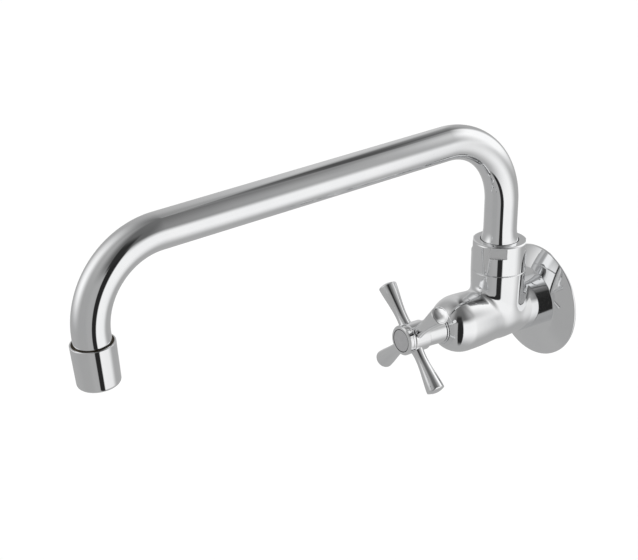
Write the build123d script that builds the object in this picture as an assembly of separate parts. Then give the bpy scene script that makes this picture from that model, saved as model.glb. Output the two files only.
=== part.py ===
from build123d import *
import os
from math import acos, asin, atan2, cos, radians, sin, sqrt, tan

# Wall-mounted kitchen tap with a swinging spout and a cross handle.
# Millimetres and degrees. The wall is the plane Y = 0, the barrel runs out from it along -Y on the line
# X = Z = 0, and +Z is up. "Out" is a distance from the wall along the barrel.

os.makedirs("parts", exist_ok=True)

# Clearances
RUN_GAP = 0.05          # turning fit, each side
FACE_GAP = 0.05         # between faces that turn on each other
THREAD_GAP = 0.05       # screwed fit, each side
SEAT_GAP = 0.1          # loose fit of a washer or disc in its bore, each side
SWING_GAP = 0.35        # open gap round the spout's foot

# Wall flange and gasket
FLANGE_R = 35.2
FLANGE_EDGE = 1.1
FLANGE_EDGE_R = 0.7
FLANGE_HIGH = 6.7
FLANGE_LAND_R = 22.4
FLANGE_SHOULDER_R = 2.0
FLANGE_SWELL = 0.3
FLANGE_WALL = 1.5
FLANGE_COLLAR = 3.5
GASKET_THICK = 2.3
GASKET_R = 19.0

# Body: barrel, globe end and upright branch
BARREL_R = 15.8
BARREL_PLAIN = 30.0
GLOBE_R = 17.5
GLOBE_OUT = 63.2
FRONT_LAND = 0.75
SWIVEL_OUT = 33.1
STALK_INSET = 0.2
STALK_R = 16.6
STALK_TOP = 29.1
STALK_BLEND_R = 4.2
NECK_R = 14.2
NECK_HIGH = 8.3
WATERWAY_R = 6.5
SEAT_OUT = 45.0
CHAMBER_R = 12.5
CHAMBER_END = 64.4
WELL_FLOOR = 12.0
PORT_WIDE = 12.0
PORT_LOW = 8.5
PORT_HIGH = 14.0

# Inlet
INLET_R = 10.48
INLET_LONG = 15.0
INLET_CHAMFER = 1.0
INLET_SHANK_R = 10.3
INLET_SCREW_R = 9.6
INLET_SCREW_LONG = 12.0
INLET_KEY = 13.0
INLET_KEY_DEEP = 8.0
INLET_WASHER_THICK = 1.7

# Headwork
HEAD_SCREW_R = 10.4
HEAD_BARREL_R = 9.4
HEAD_GASKET_THICK = 1.3
HEAD_NECK_R = 6.9
HEAD_NECK_TOP = 87.0
HEAD_KEY = 11.8
HEAD_KEY_HIGH = 4.0
HEAD_RING_R = 0.8
WINDOW_WIDE = 9.0
DISC_R = 8.0
DISC_THICK = 3.0
PORT_IN_R = 2.3
PORT_OUT_R = 6.6
PORT_ANGLE = 70.0
COVER_ANGLE = 72.0
SEAL_WALL = 2.1
SEAL_THICK = 2.4
LUG_WIDE = 3.0
LUG_DEEP = 0.8

# Spindle
SPINDLE_R = 4.0
SPINDLE_COLLAR_THICK = 3.0
TONGUE_WIDE = 3.0
TONGUE_DEEP = 1.1
TONGUE_LONG = 12.0
TURN = 90.0
STOP_ANGLE = 24.0
STOP_SLACK = 1.0
STOP_IN_R = 6.3
SPINDLE_RING_R = 0.64
SPINDLE_RING_OUTS = (60.5, 65.0)
CLIP_R = 5.4
CLIP_THICK = 0.8
CLIP_DEEP = 0.7
CLIP_OPEN = 60.0
SPLINE_R = 3.9
SPLINE_DEEP = 0.35
SPLINE_TEETH = 20
SPLINE_LONG = 6.0

# Shroud sleeve
SHROUD_R = 7.8
SHROUD_BACK_R = 8.2
SHROUD_RING_R = 8.9
SHROUD_RING_THICK = 1.0

# Cross handle
ARM_OUT = 99.8
ARM_REST = 43.0
ARM_COUNT = 4
ARM_ROOT_R = 3.9
ARM_WAIST = 13.5
ARM_WAIST_R = 3.4
ARM_MID = 24.0
ARM_MID_R = 4.3
ARM_EDGE = 33.8
ARM_EDGE_R = 5.5
ARM_TIP = 35.8
ARM_TIP_ROUND = 0.9
HUB_R = 9.0
HUB_NOSE_R = 8.6
HUB_BACK = 91.9
HUB_STEP = 102.7
HUB_FRONT = 104.3
HUB_EDGE_R = 0.4
HUB_WEB = 1.5
HUB_WALL = 1.5

# Index cap and plate, and the handle screw
CAP_R = 9.0
CAP_GROOVE = 0.5
CAP_RIM = 2.1
CAP_BEVEL = 0.8
CAP_SKIRT_WALL = 1.3
PLATE_R = 7.0
PLATE_THICK = 0.6
PLATE_SINK = 0.1
SCREW_R = 1.9
SCREW_LONG = 10.0
SCREW_HEAD_R = 3.7
SCREW_HEAD_HIGH = 2.3
SCREW_KEY = 3.0

# Spout nut
NUT_R = 16.56
NUT_TOP = 47.5
NUT_LIP = 3.6
NUT_EDGE_R = 1.4
NUT_SEAM = 0.3
NUT_SEAM_GAP = 0.05
FLAT_WIDE = 10.4
FLAT_HIGH = 7.4
FLAT_COUNT = 4
FLAT_TURN = 46.0

# Spout: tube, bell, spigot and washers
TUBE_R = 10.0
TUBE_WALL = 1.2
SPOUT_RISE = 117.7
SPOUT_RUN = 279.1
SPOUT_FALL = 3.48
SPOUT_BEND_R = 43.6
OUTLET_BEND_R = 43.0
OUTLET_LEAN = 5.94
OUTLET_STRAIGHT = 3.4
BELL_R = 11.35
BELL_HIGH = 8.0
SPIGOT_R = 10.0
SPIGOT_BORE_R = 7.6
SPIGOT_FOOT = 17.5
SPIGOT_COLLAR_R = 13.4
SPIGOT_COLLAR_THICK = 3.0
SPIGOT_SLEEVE = 12.0
SPIGOT_RING_R = 0.75
SPIGOT_RING_HEIGHTS = (22.0, 31.0)
SWIVEL_WASHER_THICK = 1.3

# Outlet: bush and aerator
BUSH_R = 11.0
BUSH_LONG = 8.0
BUSH_SINK = 0.3
HOUSING_R = 11.9
HOUSING_FOOT_R = 11.45
HOUSING_LONG = 23.5
HOUSING_EDGE_R = 2.0
HOUSING_TOP_R = 0.35
HOUSING_LIP = 4.8
HOUSING_MOUTH_R = 9.2
AERATOR_WASHER_THICK = 1.8
INSERT_WALL = 2.2
GRID_THICK = 7.0
GRID_SINK = 1.0
GRID_PITCH = 2.5
GRID_HOLE_R = 1.0
SCREEN_THICK = 0.5
SCREEN_PITCH = 2.0
SCREEN_HOLE = 1.3


# Frames: the third axis of each is the line that its pieces are turned about.
BARREL = Plane(origin=(0, 0, 0), x_dir=(1, 0, 0), z_dir=(0, -1, 0))
SWIVEL = Plane(origin=(0, -SWIVEL_OUT, 0), x_dir=(1, 0, 0), z_dir=(0, 0, 1))


def profile(*points, rounds=()):
    """Closed outline of (radius, height) points, with some of its corners rounded."""
    face = make_face(Polyline(*points, close=True))
    for corner, radius in rounds:
        vertex = face.vertices().sort_by_distance((corner[0], corner[1], 0))[0]
        face = fillet(vertex, radius)
    return face


def turned(frame, face):
    """Solid of revolution of a (radius, height) outline about the third axis of a frame."""
    return frame * revolve(Plane.XZ * face, Axis.Z)


def rod(frame, radius, low, high):
    """Round bar on the third axis of a frame."""
    return turned(frame, profile((0, low), (radius, low), (radius, high), (0, high)))


def ring(frame, inner, outer, low, high):
    """Plain ring on the third axis of a frame."""
    return turned(frame, profile((inner, low), (outer, low), (outer, high), (inner, high)))


def prism(frame, face, low, high):
    """Outline drawn in a frame's plane, extruded between two heights."""
    return frame * (Pos(0, 0, low) * extrude(face, high - low, dir=(0, 0, 1)))


def sector(frame, inner, outer, middle, width, low, high):
    """Part of a ring, centred on an angle."""
    start = middle - width / 2
    inside = CenterArc((0, 0), inner, start, width)
    outside = CenterArc((0, 0), outer, start, width)
    sides = [Line(inside @ 0, outside @ 0), Line(inside @ 1, outside @ 1)]
    return prism(frame, make_face([inside, outside, *sides]), low, high)


def o_ring(frame, floor, section, height):
    """Round rubber ring that lies in a groove with the given floor radius."""
    return frame * (Pos(0, 0, height) * Torus(floor + section, section))


def groove(frame, floor, outer, section, height):
    """Space cut for an O-ring: its section and a little room each side."""
    half = section + SEAT_GAP
    return ring(frame, floor, outer, height - half, height + half)


def globe_radius(out):
    """Radius of the globe end at a distance from the wall."""
    return sqrt(GLOBE_R ** 2 - (out - GLOBE_OUT) ** 2)


def hex_grid(radius, pitch):
    """Centres of a six-way grid that lie within a radius."""
    rows = int(radius / (pitch * sin(radians(60)))) + 1
    places = []
    for row in range(-rows, rows + 1):
        height = row * pitch * sin(radians(60))
        shift = pitch / 2 if row % 2 else 0
        for step in range(-rows - 1, rows + 2):
            across = step * pitch + shift
            if sqrt(across ** 2 + height ** 2) <= radius:
                places.append((across, height))
    return places


def splined(tip, root, teeth):
    """Outline of a splined end: flat-topped teeth round a circle."""
    step = 360 / teeth
    points = []
    for tooth in range(teeth):
        for share, radius in ((-0.35, root), (-0.15, tip), (0.15, tip), (0.35, root)):
            angle = radians((tooth + share) * step)
            points.append((radius * cos(angle), radius * sin(angle)))
    return make_face(Polyline(*points, close=True))


# Places worked out from the driving sizes
HEAD_BORE_R = HEAD_SCREW_R + THREAD_GAP
FRONT_R = HEAD_BORE_R + FRONT_LAND
FRONT_OUT = GLOBE_OUT + sqrt(GLOBE_R ** 2 - FRONT_R ** 2)
STALK_FOOT_R = BARREL_R - STALK_INSET
WELL_R = SPIGOT_R + RUN_GAP
NECK_TOP = STALK_TOP + NECK_HIGH
INLET_SEAT = GASKET_THICK + INLET_SCREW_LONG + INLET_WASHER_THICK
SEAL_TOP = SEAT_OUT + SEAL_THICK
FIXED_TOP = SEAL_TOP + DISC_THICK
TURNING_LOW = FIXED_TOP + FACE_GAP
TURNING_TOP = TURNING_LOW + DISC_THICK
COLLAR_LOW = TURNING_TOP + FACE_GAP
COLLAR_TOP = COLLAR_LOW + SPINDLE_COLLAR_THICK
HEAD_SHOULDER = COLLAR_TOP + FACE_GAP
HEAD_DISC_BORE_R = DISC_R + SEAT_GAP
HEAD_TOP = FRONT_OUT + HEAD_GASKET_THICK
CLIP_LOW = HEAD_NECK_TOP + FACE_GAP
CLIP_FLOOR_R = SPINDLE_R - CLIP_DEEP
HUB_WEB_FRONT = HUB_FRONT - CAP_RIM - CAP_GROOVE
SPINDLE_END = HUB_WEB_FRONT - HUB_WEB - SEAT_GAP
SPLINE_LOW = SPINDLE_END - SPLINE_LONG
WASHER_TOP = NECK_TOP + SWIVEL_WASHER_THICK
SPIGOT_LOW = WASHER_TOP + FACE_GAP
SPIGOT_TOP = SPIGOT_LOW + SPIGOT_COLLAR_THICK
NUT_CEILING = NUT_TOP - NUT_LIP
BELL_FOOT = NUT_CEILING + FACE_GAP * 2
BELL_TOP = NUT_TOP + BELL_HIGH


def body_casting():
    """Barrel, globe end and upright branch in one brass casting, drilled and bored."""
    swell = ((BARREL_R + GLOBE_R) / 2, (BARREL_PLAIN + GLOBE_OUT) / 2)
    half = acos(FRONT_R / GLOBE_R) / 2
    globe_middle = (GLOBE_R * cos(half), GLOBE_OUT + GLOBE_R * sin(half))
    outside = make_face([
        Line((0, GASKET_THICK), (BARREL_R, GASKET_THICK)),
        Line((BARREL_R, GASKET_THICK), (BARREL_R, BARREL_PLAIN)),
        TangentArc((BARREL_R, BARREL_PLAIN), swell, tangent=(0, 1)),
        TangentArc((GLOBE_R, GLOBE_OUT), swell, tangent=(0, -1)),
        ThreePointArc((GLOBE_R, GLOBE_OUT), globe_middle, (FRONT_R, FRONT_OUT)),
        Line((FRONT_R, FRONT_OUT), (0, FRONT_OUT)),
        Line((0, FRONT_OUT), (0, GASKET_THICK)),
    ])
    casting = turned(BARREL, outside)
    casting += SWIVEL * loft([Circle(STALK_FOOT_R), Pos(0, 0, STALK_TOP) * Circle(STALK_R)])
    joint = [edge for edge in casting.edges() if edge.geom_type == GeomType.BSPLINE]
    casting = fillet(joint, STALK_BLEND_R)
    casting += rod(SWIVEL, NECK_R, STALK_TOP, NECK_TOP)
    # Inlet thread and waterway, up to the valve seat
    casting -= rod(BARREL, INLET_SCREW_R + THREAD_GAP, GASKET_THICK, INLET_SEAT)
    casting -= rod(BARREL, WATERWAY_R, INLET_SEAT, SEAT_OUT)
    # Valve chamber, and the thread in the globe's mouth
    casting -= rod(BARREL, CHAMBER_R, SEAT_OUT, CHAMBER_END)
    casting -= rod(BARREL, HEAD_BORE_R, CHAMBER_END, FRONT_OUT)
    # Well for the spout's spigot, and the port that feeds it from the chamber
    casting -= rod(SWIVEL, WELL_R, WELL_FLOOR, NECK_TOP)
    port = Pos(0, (PORT_LOW + PORT_HIGH) / 2) * Rectangle(PORT_WIDE, PORT_HIGH - PORT_LOW)
    casting -= prism(BARREL, port, SWIVEL_OUT, SEAT_OUT + SEAL_THICK)
    return casting


def wall_flange():
    """Pressed plate round the barrel: flat front, sloping side, hollow back and a collar on the barrel."""
    inner = BARREL_R + FLANGE_WALL
    front, rim = (FLANGE_LAND_R, FLANGE_HIGH), (FLANGE_R, FLANGE_EDGE)
    slope = atan2(FLANGE_HIGH - FLANGE_EDGE, FLANGE_R - FLANGE_LAND_R)
    across, high = (front[0] + rim[0]) / 2, (front[1] + rim[1]) / 2 + FLANGE_SWELL
    back_middle = (across - FLANGE_WALL * sin(slope), high - FLANGE_WALL * cos(slope))
    back_front = (FLANGE_LAND_R - FLANGE_WALL * tan(slope / 2), FLANGE_HIGH - FLANGE_WALL)
    plate = make_face([
        Polyline((BARREL_R, FLANGE_HIGH - FLANGE_COLLAR), (BARREL_R, FLANGE_HIGH), front),
        ThreePointArc(front, (across, high), rim),
        Polyline(rim, (FLANGE_R, 0), (FLANGE_R - FLANGE_WALL, 0)),
        ThreePointArc((FLANGE_R - FLANGE_WALL, 0), back_middle, back_front),
        Polyline(back_front, (inner, FLANGE_HIGH - FLANGE_WALL), (inner, FLANGE_HIGH - FLANGE_COLLAR),
                 (BARREL_R, FLANGE_HIGH - FLANGE_COLLAR)),
    ])
    for corner, radius in ((front, FLANGE_SHOULDER_R), (rim, FLANGE_EDGE_R)):
        plate = fillet(plate.vertices().sort_by_distance((*corner, 0))[0], radius)
    return turned(BARREL, plate)


def wall_gasket():
    """Thick rubber ring between the barrel's end and the wall."""
    return ring(BARREL, INLET_R + SEAT_GAP, GASKET_R, 0, GASKET_THICK)


def inlet_nipple():
    """Brass nipple: pipe thread behind the wall, smaller thread in the body, key socket in its bore."""
    inner_end = GASKET_THICK + INLET_SCREW_LONG
    nipple = turned(BARREL, profile(
        (WATERWAY_R, -INLET_LONG), (INLET_R - INLET_CHAMFER, -INLET_LONG),
        (INLET_R, -INLET_LONG + INLET_CHAMFER), (INLET_R, 0), (INLET_SHANK_R, 0),
        (INLET_SHANK_R, GASKET_THICK), (INLET_SCREW_R, GASKET_THICK), (INLET_SCREW_R, inner_end),
        (WATERWAY_R, inner_end)))
    socket = RegularPolygon(INLET_KEY / 2, 6, major_radius=False)
    return nipple - prism(BARREL, socket, -INLET_LONG, -INLET_LONG + INLET_KEY_DEEP)


def inlet_washer():
    """Fibre washer between the nipple's end and the body."""
    return ring(BARREL, WATERWAY_R, INLET_SCREW_R - SEAT_GAP, GASKET_THICK + INLET_SCREW_LONG, INLET_SEAT)


def seat_seal():
    """Rubber ring that seals the fixed disc on the valve seat."""
    return ring(BARREL, WATERWAY_R, WATERWAY_R + SEAL_WALL, SEAT_OUT, SEAL_TOP)


def fixed_disc():
    """Ceramic disc with two ports, held by a lug in each side."""
    disc = rod(BARREL, DISC_R, SEAL_TOP, FIXED_TOP)
    for middle in (0, 180):
        disc -= sector(BARREL, PORT_IN_R, PORT_OUT_R, middle, PORT_ANGLE, SEAL_TOP, FIXED_TOP)
    reach = DISC_R - LUG_DEEP - SEAT_GAP
    slot = Rectangle(LUG_WIDE + 2 * SEAT_GAP, 2 * DISC_R)
    slot -= Rectangle(2 * DISC_R, 2 * reach)
    return disc - prism(BARREL, slot, SEAL_TOP, FIXED_TOP)


def turning_disc():
    """Ceramic disc cut away at both sides, driven by the spindle's tongue."""
    clear_r = DISC_R - SEAT_GAP * 2
    disc = rod(BARREL, clear_r, TURNING_LOW, TURNING_TOP)
    for middle in (90, 270):
        disc -= sector(BARREL, PORT_IN_R, DISC_R, middle, COVER_ANGLE, TURNING_LOW, TURNING_TOP)
    slot = Rectangle(2 * DISC_R, TONGUE_WIDE + 2 * SEAT_GAP)
    return disc - prism(BARREL, slot, TURNING_TOP - TONGUE_DEEP - SEAT_GAP, TURNING_TOP)


def headwork_body():
    """Brass cartridge: disc cage, thread, sealing flange and neck with a spanner hexagon."""
    screw_low = CHAMBER_END + SEAT_GAP
    middle_out = FRONT_OUT + HEAD_GASKET_THICK / 2
    edge = [(FRONT_R, FRONT_OUT), (globe_radius(middle_out), middle_out), (globe_radius(HEAD_TOP), HEAD_TOP)]
    outside = make_face([
        Polyline((0, SEAL_TOP), (HEAD_BARREL_R, SEAL_TOP), (HEAD_BARREL_R, screw_low),
                 (HEAD_SCREW_R, screw_low), (HEAD_SCREW_R, FRONT_OUT), edge[0]),
        ThreePointArc(*edge),
        Polyline(edge[2], (HEAD_NECK_R, HEAD_TOP), (HEAD_NECK_R, HEAD_NECK_TOP), (0, HEAD_NECK_TOP),
                 (0, SEAL_TOP)),
    ])
    head = turned(BARREL, outside)
    key = Circle(HEAD_NECK_R + SEAT_GAP) - RegularPolygon(HEAD_KEY / 2, 6, major_radius=False)
    head -= prism(BARREL, key, HEAD_NECK_TOP - HEAD_KEY_HIGH, HEAD_NECK_TOP)
    floor = HEAD_SCREW_R - 2 * HEAD_RING_R
    head -= groove(BARREL, floor, HEAD_SCREW_R, HEAD_RING_R, head_ring_out())
    head -= rod(BARREL, SPINDLE_R + RUN_GAP, HEAD_SHOULDER, HEAD_NECK_TOP)
    head -= rod(BARREL, HEAD_DISC_BORE_R, SEAL_TOP, HEAD_SHOULDER)
    # Lugs that hold the fixed disc, and the stop for the spindle's collar
    reach = HEAD_DISC_BORE_R - LUG_DEEP - SEAT_GAP
    lugs = Rectangle(LUG_WIDE, 2 * HEAD_DISC_BORE_R) & Circle(HEAD_BARREL_R)
    lugs -= Rectangle(2 * DISC_R, 2 * reach)
    head += prism(BARREL, lugs, SEAL_TOP, FIXED_TOP)
    stop_low = COLLAR_LOW + SPINDLE_COLLAR_THICK / 4
    head += sector(BARREL, STOP_IN_R, HEAD_BARREL_R, 90, STOP_ANGLE, stop_low, HEAD_SHOULDER)
    # Outlet windows beside the turning disc
    window = Rectangle(2 * HEAD_BARREL_R, WINDOW_WIDE)
    head -= prism(BARREL, window, TURNING_LOW + SEAT_GAP, TURNING_TOP - SEAT_GAP)
    return head


def head_ring_out():
    """Where the headwork's O-ring lies, just behind the globe's front face."""
    return FRONT_OUT - HEAD_RING_R - SEAT_GAP


def headwork_ring():
    """O-ring that seals the headwork in the body."""
    return o_ring(BARREL, HEAD_SCREW_R - 2 * HEAD_RING_R, HEAD_RING_R, head_ring_out())


def spindle():
    """Brass spindle: drive tongue, collar with a stop notch, grooved stem and splined end."""
    clear_r = DISC_R - SEAT_GAP
    shaft = rod(BARREL, clear_r, COLLAR_LOW, COLLAR_TOP)
    notch = TURN + STOP_ANGLE + 2 * STOP_SLACK
    middle = 90 - STOP_ANGLE / 2 - STOP_SLACK - TURN + notch / 2
    inner = STOP_IN_R - SEAT_GAP * 2
    shaft -= sector(BARREL, inner, DISC_R, middle, notch, COLLAR_LOW, COLLAR_TOP)
    shaft += rod(BARREL, SPINDLE_R, COLLAR_TOP, SPLINE_LOW)
    shaft += prism(BARREL, splined(SPLINE_R, SPLINE_R - SPLINE_DEEP, SPLINE_TEETH), SPLINE_LOW, SPINDLE_END)
    tongue = Rectangle(TONGUE_LONG, TONGUE_WIDE)
    shaft += prism(BARREL, tongue, COLLAR_LOW - TONGUE_DEEP, COLLAR_LOW)
    for out in SPINDLE_RING_OUTS:
        shaft -= groove(BARREL, SPINDLE_R - 2 * SPINDLE_RING_R, SPINDLE_R, SPINDLE_RING_R, out)
    clip_top = CLIP_LOW + CLIP_THICK + SEAT_GAP
    shaft -= ring(BARREL, CLIP_FLOOR_R, SPINDLE_R, CLIP_LOW, clip_top)
    shaft -= rod(BARREL, SCREW_R + THREAD_GAP, HUB_WEB_FRONT - SCREW_LONG - SEAT_GAP, SPINDLE_END)
    return shaft


def spindle_rings():
    """The two O-rings on the spindle's stem."""
    floor = SPINDLE_R - 2 * SPINDLE_RING_R
    return [o_ring(BARREL, floor, SPINDLE_RING_R, out) for out in SPINDLE_RING_OUTS]


def retaining_ring():
    """Open spring ring that holds the spindle in the headwork."""
    whole = ring(BARREL, CLIP_FLOOR_R, CLIP_R, CLIP_LOW, CLIP_LOW + CLIP_THICK)
    return whole - sector(BARREL, CLIP_FLOOR_R / 2, CLIP_R * 2, 0, CLIP_OPEN, CLIP_LOW, CLIP_LOW + CLIP_THICK)


def shroud_sleeve():
    """Plated sleeve screwed over the headwork's neck, with a ring at its foot."""
    bore = HEAD_NECK_R + THREAD_GAP
    step = HEAD_TOP + SHROUD_RING_THICK
    top = HUB_BACK - FACE_GAP * 2
    foot, shoulder = (SHROUD_RING_R, HEAD_TOP), (SHROUD_RING_R, step)
    return turned(BARREL, profile(
        (bore, HEAD_TOP), foot, shoulder, (SHROUD_BACK_R, step), (SHROUD_R, top), (bore, top),
        rounds=[(foot, SHROUD_RING_THICK * 0.3), (shoulder, SHROUD_RING_THICK * 0.3)]))


def handle_arm():
    """One flared arm with a domed end, along +X from the handle's centre."""
    root = HUB_R - HUB_WALL
    tip_r = ARM_EDGE_R - ARM_TIP_ROUND
    tip_x = ARM_EDGE + ARM_TIP_ROUND
    corner = (ARM_EDGE + ARM_TIP_ROUND * 0.7, ARM_EDGE_R - ARM_TIP_ROUND * 0.3)
    rise = ARM_TIP - tip_x
    dome_r = (tip_r ** 2 + rise ** 2) / (2 * rise)
    half = asin(tip_r / dome_r) / 2
    half_dome = (ARM_TIP - dome_r + dome_r * cos(half), dome_r * sin(half))
    outline = make_face([
        Spline((root, ARM_ROOT_R), (ARM_WAIST, ARM_WAIST_R), (ARM_MID, ARM_MID_R), (ARM_EDGE, ARM_EDGE_R)),
        ThreePointArc((ARM_EDGE, ARM_EDGE_R), corner, (tip_x, tip_r)),
        ThreePointArc((tip_x, tip_r), half_dome, (ARM_TIP, 0)),
        Polyline((ARM_TIP, 0), (root, 0), (root, ARM_ROOT_R)),
    ])
    return revolve(outline, Axis.X)


def cross_handle():
    """Hub and four arms in one casting, broached for the spindle."""
    back_edge = (HUB_R, HUB_BACK)
    hub = turned(BARREL, profile(
        (0, HUB_BACK), back_edge, (HUB_R, HUB_STEP), (HUB_NOSE_R, HUB_STEP), (HUB_NOSE_R, HUB_FRONT),
        (0, HUB_FRONT), rounds=[(back_edge, HUB_EDGE_R)]))
    arm = handle_arm()
    for turn in range(ARM_COUNT):
        angle = ARM_REST + turn * 360 / ARM_COUNT
        hub += BARREL * (Pos(0, 0, ARM_OUT) * (Rot(0, 0, angle) * arm))
    hub -= rod(BARREL, HUB_R - HUB_WALL - RUN_GAP, HUB_WEB_FRONT, HUB_FRONT)
    hub -= rod(BARREL, SCREW_R + SEAT_GAP, SPINDLE_END, HUB_WEB_FRONT)
    tip = SPLINE_R + THREAD_GAP
    broach = splined(tip, tip - SPLINE_DEEP, SPLINE_TEETH)
    hub -= prism(BARREL, broach, SPLINE_LOW, HUB_WEB_FRONT - HUB_WEB)
    hub -= rod(BARREL, SPINDLE_R + THREAD_GAP, HUB_BACK, SPLINE_LOW)
    return hub


def index_cap():
    """Plated cap that presses into the hub and carries the index plate."""
    low = HUB_FRONT + CAP_GROOVE
    top = low + CAP_RIM + CAP_BEVEL
    skirt_r = HUB_R - HUB_WALL - 2 * RUN_GAP
    skirt_low = HUB_WEB_FRONT + SEAT_GAP
    floor = top - PLATE_SINK - PLATE_THICK
    seat_r = PLATE_R + RUN_GAP
    ceiling = floor - CAP_BEVEL
    inner = skirt_r - CAP_SKIRT_WALL
    return turned(BARREL, profile(
        (0, ceiling), (inner, ceiling), (inner, skirt_low), (skirt_r, skirt_low), (skirt_r, low), (CAP_R, low),
        (CAP_R, low + CAP_RIM), (CAP_R - CAP_BEVEL, top), (seat_r, top), (seat_r, floor), (0, floor)))


def index_plate():
    """Round plate in the front of the cap."""
    top = HUB_FRONT + CAP_GROOVE + CAP_RIM + CAP_BEVEL - PLATE_SINK
    return rod(BARREL, PLATE_R, top - PLATE_THICK, top)


def handle_screw():
    """Socket screw through the hub's web into the spindle."""
    head_top = HUB_WEB_FRONT + SCREW_HEAD_HIGH
    head_edge = (SCREW_HEAD_R, head_top)
    screw = turned(BARREL, profile(
        (0, HUB_WEB_FRONT - SCREW_LONG), (SCREW_R, HUB_WEB_FRONT - SCREW_LONG), (SCREW_R, HUB_WEB_FRONT),
        (SCREW_HEAD_R, HUB_WEB_FRONT), head_edge, (0, head_top), rounds=[(head_edge, SCREW_HEAD_HIGH * 0.35)]))
    socket = RegularPolygon(SCREW_KEY / 2, 6, major_radius=False)
    return screw - prism(BARREL, socket, HUB_WEB_FRONT + SCREW_HEAD_HIGH * 0.4, head_top)


def spout_nut():
    """Round nut with spanner flats near its top, screwed on the body's neck over the spigot's collar."""
    low = STALK_TOP + NUT_SEAM_GAP
    lip_r = BELL_R + SWING_GAP
    bore = NECK_R + THREAD_GAP
    top_edge = (NUT_R, NUT_TOP)
    nut = turned(SWIVEL, profile(
        (bore, low), (NUT_R - NUT_SEAM, low), (NUT_R, low + NUT_SEAM), top_edge, (lip_r, NUT_TOP),
        (lip_r, NUT_CEILING), (bore, NUT_CEILING), rounds=[(top_edge, NUT_EDGE_R)]))
    flat_at = sqrt(NUT_R ** 2 - (FLAT_WIDE / 2) ** 2)
    flat = Pos(0, -flat_at - NUT_R / 2) * Rectangle(2 * FLAT_WIDE, NUT_R)
    for turn in range(FLAT_COUNT):
        angle = FLAT_TURN + turn * 360 / FLAT_COUNT
        nut -= prism(SWIVEL, Rot(0, 0, angle) * flat, NUT_TOP - FLAT_HIGH, NUT_TOP)
    return nut


def swivel_washer():
    """Slippery washer on the neck, under the spigot's collar."""
    return ring(SWIVEL, SPIGOT_R + SWING_GAP, NECK_R - SEAT_GAP, NECK_TOP, WASHER_TOP)


def slip_ring():
    """Slippery ring between the spigot's collar and the nut."""
    return ring(SWIVEL, BELL_R + RUN_GAP * 3, NECK_R - SEAT_GAP, SPIGOT_TOP + FACE_GAP, NUT_CEILING)


def spout_path():
    """Centre line of the tube from the top of its bell to its outlet end, and the outlet's direction."""
    fall = radians(SPOUT_FALL)
    lean = radians(OUTLET_LEAN)
    corner = Vector(0, -SWIVEL_OUT, SPOUT_RISE)
    end_corner = corner + Vector(0, -cos(fall), -sin(fall)) * SPOUT_RUN
    flow = Vector(0, sin(lean), -cos(lean))
    turn = radians(90 - SPOUT_FALL + OUTLET_LEAN)
    tail = OUTLET_BEND_R * tan(turn / 2) + OUTLET_STRAIGHT + BUSH_LONG
    end = end_corner + flow * tail
    start = Vector(0, -SWIVEL_OUT, BELL_TOP)
    line = FilletPolyline(start, corner, end_corner, end, radius=[SPOUT_BEND_R, OUTLET_BEND_R])
    return line, end - flow * BUSH_LONG, flow


def spout_tube():
    """Bent tube with a belled foot."""
    line = spout_path()[0]
    section = Circle(TUBE_R) - Circle(TUBE_R - TUBE_WALL)
    tube = sweep(Plane(origin=line @ 0, x_dir=(1, 0, 0), z_dir=line % 0) * section, line)
    inner = TUBE_R - TUBE_WALL
    bell = make_face([
        Line((inner, BELL_FOOT), (BELL_R, BELL_FOOT)),
        Line((BELL_R, BELL_FOOT), (BELL_R, NUT_TOP)),
        TangentArc((TUBE_R, BELL_TOP), (BELL_R, NUT_TOP), tangent=(0, -1)),
        Line((TUBE_R, BELL_TOP), (inner, BELL_TOP)),
        Line((inner, BELL_TOP), (inner, BELL_FOOT)),
    ])
    return tube + turned(SWIVEL, bell)


def spout_spigot():
    """Machined foot of the spout: spigot in the well, collar under the nut, sleeve brazed in the tube."""
    collar_top = SPIGOT_TOP
    sleeve_r = TUBE_R - TUBE_WALL - RUN_GAP
    spigot = turned(SWIVEL, profile(
        (SPIGOT_BORE_R, SPIGOT_FOOT), (SPIGOT_R, SPIGOT_FOOT), (SPIGOT_R, SPIGOT_LOW),
        (SPIGOT_COLLAR_R, SPIGOT_LOW), (SPIGOT_COLLAR_R, collar_top), (BELL_R, collar_top),
        (BELL_R, BELL_FOOT), (sleeve_r, BELL_FOOT), (sleeve_r, BELL_FOOT + SPIGOT_SLEEVE),
        (SPIGOT_BORE_R, BELL_FOOT + SPIGOT_SLEEVE)))
    for height in SPIGOT_RING_HEIGHTS:
        spigot -= groove(SWIVEL, SPIGOT_R - 2 * SPIGOT_RING_R, SPIGOT_R, SPIGOT_RING_R, height)
    return spigot


def spigot_rings():
    """The two O-rings on the spigot."""
    floor = SPIGOT_R - 2 * SPIGOT_RING_R
    return [o_ring(SWIVEL, floor, SPIGOT_RING_R, height) for height in SPIGOT_RING_HEIGHTS]


OUTLET = Plane(origin=spout_path()[1], x_dir=(1, 0, 0), z_dir=spout_path()[2])
WASHER_FOOT = BUSH_LONG + AERATOR_WASHER_THICK
HOUSING_SHELF = HOUSING_LONG - HOUSING_LIP
GRID_FOOT = HOUSING_LONG - GRID_SINK
GRID_TOP = GRID_FOOT - GRID_THICK
INSERT_R = BUSH_R - SEAT_GAP


def outlet_bush():
    """Threaded bush brazed on the tube's end."""
    return ring(OUTLET, TUBE_R, BUSH_R, BUSH_SINK, BUSH_LONG)


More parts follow.
